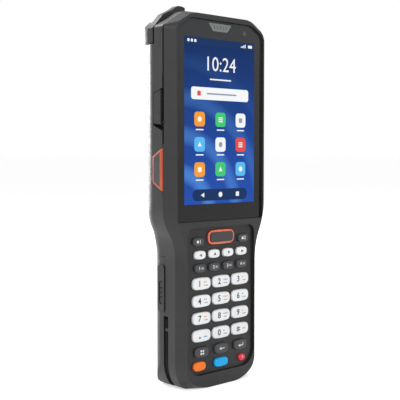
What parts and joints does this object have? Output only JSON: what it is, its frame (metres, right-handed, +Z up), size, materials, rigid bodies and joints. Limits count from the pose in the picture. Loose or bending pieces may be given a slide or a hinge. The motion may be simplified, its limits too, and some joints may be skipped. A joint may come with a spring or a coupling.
{
  "type": "portable barcode data terminal",
  "caption": "Handheld barcode data terminal: touch display head with a scan window on top, narrower keypad grip, side scan triggers, port door and removable rear battery.",
  "frame": {"origin": "on the flat foot, under the front face of the display glass, midway across the terminal", "axes": "+Z up along the terminal from the keypad's foot to the scan window, -Y out of the display and keys, +X to the right seen from the front"},
  "size_m": [0.0822, 0.0275, 0.2175],
  "materials": {
    "black_glass": "glossy",
    "black_rubber": "matt",
    "blue_key": "satin",
    "cell_wrap": "satin",
    "charcoal_plastic": "fine texture",
    "circuit_board": "solder mask",
    "display_panel": "glossy",
    "gasket_foam": "matt",
    "gold_contacts": "plated",
    "grey_key": "satin",
    "grille_mesh": "satin",
    "lens_glass": "glossy",
    "magnesium": "satin",
    "orange_key": "satin",
    "red_key": "satin",
    "scan_key": "satin",
    "scan_window_glass": "glossy",
    "steel": "satin",
    "trigger": "satin",
    "white_key": "satin"
  },
  "bodies": {
    "terminal": {"front_housing": "charcoal_plastic", "rear_housing": "charcoal_plastic", "display_glass": "black_glass", "receiver_grille": "grille_mesh", "display_gasket": "gasket_foam", "lcd_module": "display_panel", "front_camera": "lens_glass", "chassis": "magnesium", "main_board": "circuit_board", "charging_port": "steel", "keypad_bezel": "charcoal_plastic", "keypad_mat": "black_rubber", "keypad_board": "circuit_board", "door_pin": "steel", "battery_contacts": "gold_contacts", "scan_hood": "black_rubber", "scan_window": "scan_window_glass", "scan_engine": "magnesium", "speaker": "steel", "rear_camera": "lens_glass", "docking_contacts": "gold_contacts", "housing_screws": "steel"},
    "key_1": {"key_1": "white_key"},
    "key_2": {"key_2": "white_key"},
    "key_3": {"key_3": "white_key"},
    "key_4": {"key_4": "white_key"},
    "key_5": {"key_5": "white_key"},
    "key_6": {"key_6": "white_key"},
    "key_7": {"key_7": "white_key"},
    "key_8": {"key_8": "white_key"},
    "key_9": {"key_9": "white_key"},
    "key_point": {"key_point": "white_key"},
    "key_0": {"key_0": "white_key"},
    "key_symbol": {"key_symbol": "white_key"},
    "key_function_1": {"key_function_1": "grey_key"},
    "key_arrow_1": {"key_arrow_1": "white_key"},
    "key_function_2": {"key_function_2": "grey_key"},
    "key_arrow_2": {"key_arrow_2": "white_key"},
    "key_function_3": {"key_function_3": "grey_key"},
    "key_arrow_3": {"key_arrow_3": "white_key"},
    "key_function_4": {"key_function_4": "grey_key"},
    "key_arrow_4": {"key_arrow_4": "white_key"},
    "key_program_1": {"key_program_1": "grey_key"},
    "key_program_2": {"key_program_2": "grey_key"},
    "key_menu": {"key_menu": "grey_key"},
    "key_back": {"key_back": "grey_key"},
    "key_enter": {"key_enter": "grey_key"},
    "key_orange": {"key_orange": "orange_key"},
    "key_blue": {"key_blue": "blue_key"},
    "key_power": {"key_power": "red_key"},
    "key_scan": {"key_scan": "scan_key"},
    "left_scan_trigger": {"left_scan_trigger": "trigger"},
    "right_scan_trigger": {"right_scan_trigger": "trigger"},
    "volume_rocker": {"volume_rocker": "black_rubber"},
    "port_door": {"port_door": "black_rubber"},
    "battery": {"battery_pack": "charcoal_plastic", "battery_cells": "cell_wrap"},
    "left_battery_latch": {"left_battery_latch": "charcoal_plastic"},
    "right_battery_latch": {"right_battery_latch": "charcoal_plastic"}
  },
  "joints": [
    {"name": "key_1_press", "type": "slide", "parent": "terminal", "child": "key_1", "axis": [0, 1, 0], "range_m": [0, 0.0008], "stiffness_N_per_m": 2500},
    {"name": "key_2_press", "type": "slide", "parent": "terminal", "child": "key_2", "axis": [0, 1, 0], "range_m": [0, 0.0008], "stiffness_N_per_m": 2500},
    {"name": "key_3_press", "type": "slide", "parent": "terminal", "child": "key_3", "axis": [0, 1, 0], "range_m": [0, 0.0008], "stiffness_N_per_m": 2500},
    {"name": "key_4_press", "type": "slide", "parent": "terminal", "child": "key_4", "axis": [0, 1, 0], "range_m": [0, 0.0008], "stiffness_N_per_m": 2500},
    {"name": "key_5_press", "type": "slide", "parent": "terminal", "child": "key_5", "axis": [0, 1, 0], "range_m": [0, 0.0008], "stiffness_N_per_m": 2500},
    {"name": "key_6_press", "type": "slide", "parent": "terminal", "child": "key_6", "axis": [0, 1, 0], "range_m": [0, 0.0008], "stiffness_N_per_m": 2500},
    {"name": "key_7_press", "type": "slide", "parent": "terminal", "child": "key_7", "axis": [0, 1, 0], "range_m": [0, 0.0008], "stiffness_N_per_m": 2500},
    {"name": "key_8_press", "type": "slide", "parent": "terminal", "child": "key_8", "axis": [0, 1, 0], "range_m": [0, 0.0008], "stiffness_N_per_m": 2500},
    {"name": "key_9_press", "type": "slide", "parent": "terminal", "child": "key_9", "axis": [0, 1, 0], "range_m": [0, 0.0008], "stiffness_N_per_m": 2500},
    {"name": "key_point_press", "type": "slide", "parent": "terminal", "child": "key_point", "axis": [0, 1, 0], "range_m": [0, 0.0008], "stiffness_N_per_m": 2500},
    {"name": "key_0_press", "type": "slide", "parent": "terminal", "child": "key_0", "axis": [0, 1, 0], "range_m": [0, 0.0008], "stiffness_N_per_m": 2500},
    {"name": "key_symbol_press", "type": "slide", "parent": "terminal", "child": "key_symbol", "axis": [0, 1, 0], "range_m": [0, 0.0008], "stiffness_N_per_m": 2500},
    {"name": "key_function_1_press", "type": "slide", "parent": "terminal", "child": "key_function_1", "axis": [0, 1, 0], "range_m": [0, 0.0008], "stiffness_N_per_m": 2500},
    {"name": "key_arrow_1_press", "type": "slide", "parent": "terminal", "child": "key_arrow_1", "axis": [0, 1, 0], "range_m": [0, 0.0008], "stiffness_N_per_m": 2500},
    {"name": "key_function_2_press", "type": "slide", "parent": "terminal", "child": "key_function_2", "axis": [0, 1, 0], "range_m": [0, 0.0008], "stiffness_N_per_m": 2500},
    {"name": "key_arrow_2_press", "type": "slide", "parent": "terminal", "child": "key_arrow_2", "axis": [0, 1, 0], "range_m": [0, 0.0008], "stiffness_N_per_m": 2500},
    {"name": "key_function_3_press", "type": "slide", "parent": "terminal", "child": "key_function_3", "axis": [0, 1, 0], "range_m": [0, 0.0008], "stiffness_N_per_m": 2500},
    {"name": "key_arrow_3_press", "type": "slide", "parent": "terminal", "child": "key_arrow_3", "axis": [0, 1, 0], "range_m": [0, 0.0008], "stiffness_N_per_m": 2500},
    {"name": "key_function_4_press", "type": "slide", "parent": "terminal", "child": "key_function_4", "axis": [0, 1, 0], "range_m": [0, 0.0008], "stiffness_N_per_m": 2500},
    {"name": "key_arrow_4_press", "type": "slide", "parent": "terminal", "child": "key_arrow_4", "axis": [0, 1, 0], "range_m": [0, 0.0008], "stiffness_N_per_m": 2500},
    {"name": "key_program_1_press", "type": "slide", "parent": "terminal", "child": "key_program_1", "axis": [0, 1, 0], "range_m": [0, 0.0008], "stiffness_N_per_m": 2500},
    {"name": "key_program_2_press", "type": "slide", "parent": "terminal", "child": "key_program_2", "axis": [0, 1, 0], "range_m": [0, 0.0008], "stiffness_N_per_m": 2500},
    {"name": "key_menu_press", "type": "slide", "parent": "terminal", "child": "key_menu", "axis": [0, 1, 0], "range_m": [0, 0.0008], "stiffness_N_per_m": 2500},
    {"name": "key_back_press", "type": "slide", "parent": "terminal", "child": "key_back", "axis": [0, 1, 0], "range_m": [0, 0.0008], "stiffness_N_per_m": 2500},
    {"name": "key_enter_press", "type": "slide", "parent": "terminal", "child": "key_enter", "axis": [0, 1, 0], "range_m": [0, 0.0008], "stiffness_N_per_m": 2500},
    {"name": "key_orange_press", "type": "slide", "parent": "terminal", "child": "key_orange", "axis": [0, 1, 0], "range_m": [0, 0.0008], "stiffness_N_per_m": 2500},
    {"name": "key_blue_press", "type": "slide", "parent": "terminal", "child": "key_blue", "axis": [0, 1, 0], "range_m": [0, 0.0008], "stiffness_N_per_m": 2500},
    {"name": "key_power_press", "type": "slide", "parent": "terminal", "child": "key_power", "axis": [0, 1, 0], "range_m": [0, 0.0008], "stiffness_N_per_m": 2500},
    {"name": "key_scan_press", "type": "slide", "parent": "terminal", "child": "key_scan", "axis": [0, 1, 0], "range_m": [0, 0.0008], "stiffness_N_per_m": 2500},
    {"name": "left_scan_trigger_press", "type": "slide", "parent": "terminal", "child": "left_scan_trigger", "axis": [1, 0, 0], "range_m": [0, 0.001], "stiffness_N_per_m": 3000},
    {"name": "right_scan_trigger_press", "type": "slide", "parent": "terminal", "child": "right_scan_trigger", "axis": [-1, 0, 0], "range_m": [0, 0.001], "stiffness_N_per_m": 3000},
    {"name": "volume_rocker_tilt", "type": "hinge", "parent": "terminal", "child": "volume_rocker", "pos_m": [0.038, 0.0083, 0.158], "axis": [0, 1, 0], "range_deg": [-3, 3], "stiffness_Nm_per_rad": 0.3},
    {"name": "port_door_hinge", "type": "hinge", "parent": "terminal", "child": "port_door", "pos_m": [-0.0388, 0.009, 0.1515], "axis": [0, -1, 0], "range_deg": [0, 90]},
    {"name": "battery_release", "type": "slide", "parent": "terminal", "child": "battery", "axis": [0, 1, 0], "range_m": [0, 0.024]},
    {"name": "left_latch_press", "type": "slide", "parent": "battery", "child": "left_battery_latch", "axis": [1, 0, 0], "range_m": [0, 0.001], "stiffness_N_per_m": 1500},
    {"name": "right_latch_press", "type": "slide", "parent": "battery", "child": "right_battery_latch", "axis": [-1, 0, 0], "range_m": [0, 0.001], "stiffness_N_per_m": 1500}
  ]
}
